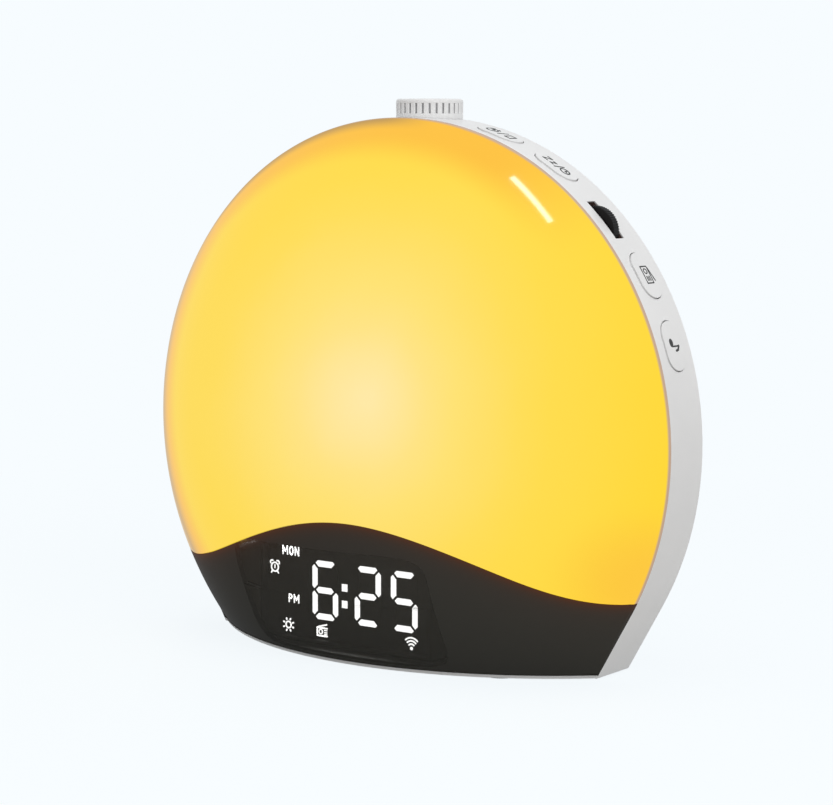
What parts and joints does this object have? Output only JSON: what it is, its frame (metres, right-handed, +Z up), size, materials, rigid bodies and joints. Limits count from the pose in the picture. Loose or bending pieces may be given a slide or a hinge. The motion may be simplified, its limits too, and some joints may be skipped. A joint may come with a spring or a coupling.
{
  "type": "sunrise alarm clock",
  "caption": "Round bedside sunrise alarm clock with a glowing domed front, a wave-edged black display lens, a top dial, side buttons and a volume wheel.",
  "frame": {"origin": "on the table, under the middle of the case's width and depth", "axes": "+X to the right seen from the front, -Y towards the front, +Z up"},
  "size_m": [0.18, 0.0826, 0.1595],
  "materials": {
    "opal_diffuser": "opal acrylic, glossy, lit from behind in warm yellow",
    "smoked_lens": "near-black smoked acrylic, glossy",
    "white_shell": "white moulded ABS, fine satin texture",
    "white_button": "white satin plastic with small grey symbols",
    "white_dial": "white satin plastic, fluted",
    "white_reflector": "plain white plastic",
    "grey_rubber": "light grey rubber",
    "screw_steel": "zinc-plated steel",
    "bright_metal": "bright metal",
    "black_plastic": "black plastic",
    "display_black": "matt black face",
    "lit_white": "lit cool white",
    "unlit_grey": "unlit segment, dark grey",
    "green_board": "green solder mask",
    "white_board": "white-coated aluminium board",
    "warm_led": "warm white LED",
    "ribbon_white": "flat white cable",
    "speaker_steel": "plain pressed steel",
    "speaker_paper": "black paper cone",
    "black_foam": "black foam"
  },
  "bodies": {
    "housing": {"backup_cell": "bright_metal", "board_chips": "black_plastic", "board_screws": "screw_steel", "case_screws": "screw_steel", "cell_holder": "black_plastic", "chassis_screws": "screw_steel", "dark_segments": "unlit_grey", "diffuser_dome": "opal_diffuser", "digit_module": "display_black", "display_board": "green_board", "display_lens": "smoked_lens", "display_ribbon": "ribbon_white", "display_shroud": "black_plastic", "encoder_body": "bright_metal", "encoder_nut": "screw_steel", "lamp_board": "white_board", "lamp_leds": "warm_led", "light_chassis": "white_reflector", "lit_segments": "lit_white", "main_board": "green_board", "mid_housing": "white_shell", "power_inlet": "black_plastic", "rear_cover": "white_shell", "rubber_feet": "grey_rubber", "side_board": "green_board", "side_board_screws": "screw_steel", "side_switches": "black_plastic", "speaker_cone": "speaker_paper", "speaker_frame": "speaker_steel", "speaker_gasket": "black_foam", "speaker_magnet": "speaker_steel", "wheel_sensor": "black_plastic"},
    "alarm_button": {"alarm_button": "white_button"},
    "sleep_button": {"sleep_button": "white_button"},
    "radio_button": {"radio_button": "white_button"},
    "music_button": {"music_button": "white_button"},
    "volume_wheel": {"thumbwheel": "black_plastic", "wheel_pin": "bright_metal"},
    "dial_plunger": {"encoder_plunger": "black_plastic"},
    "dial": {"dial": "white_dial", "encoder_shaft": "bright_metal"}
  },
  "joints": [
    {"name": "alarm_press", "type": "slide", "parent": "housing", "child": "alarm_button", "axis": [-0.319, 0, -0.9478], "range_m": [0, 0.0005], "stiffness_N_per_m": 400},
    {"name": "sleep_press", "type": "slide", "parent": "housing", "child": "sleep_button", "axis": [-0.527, 0, -0.8499], "range_m": [0, 0.0005], "stiffness_N_per_m": 400},
    {"name": "radio_press", "type": "slide", "parent": "housing", "child": "radio_button", "axis": [-0.8499, 0, -0.527], "range_m": [0, 0.0005], "stiffness_N_per_m": 400},
    {"name": "music_press", "type": "slide", "parent": "housing", "child": "music_button", "axis": [-0.9478, 0, -0.319], "range_m": [0, 0.0005], "stiffness_N_per_m": 400},
    {"name": "volume_turn", "type": "hinge", "parent": "housing", "child": "volume_wheel", "pos_m": [0.06132, 0.0099, 0.12311], "axis": [0, 1, 0], "range_deg": [-135, 135]},
    {"name": "dial_press", "type": "slide", "parent": "housing", "child": "dial_plunger", "axis": [0, 0, -1], "range_m": [0, 0.0005], "stiffness_N_per_m": 500},
    {"name": "dial_turn", "type": "hinge", "parent": "dial_plunger", "child": "dial", "pos_m": [0, 0.01745, 0.1531], "axis": [0, 0, 1], "continuous": true}
  ]
}
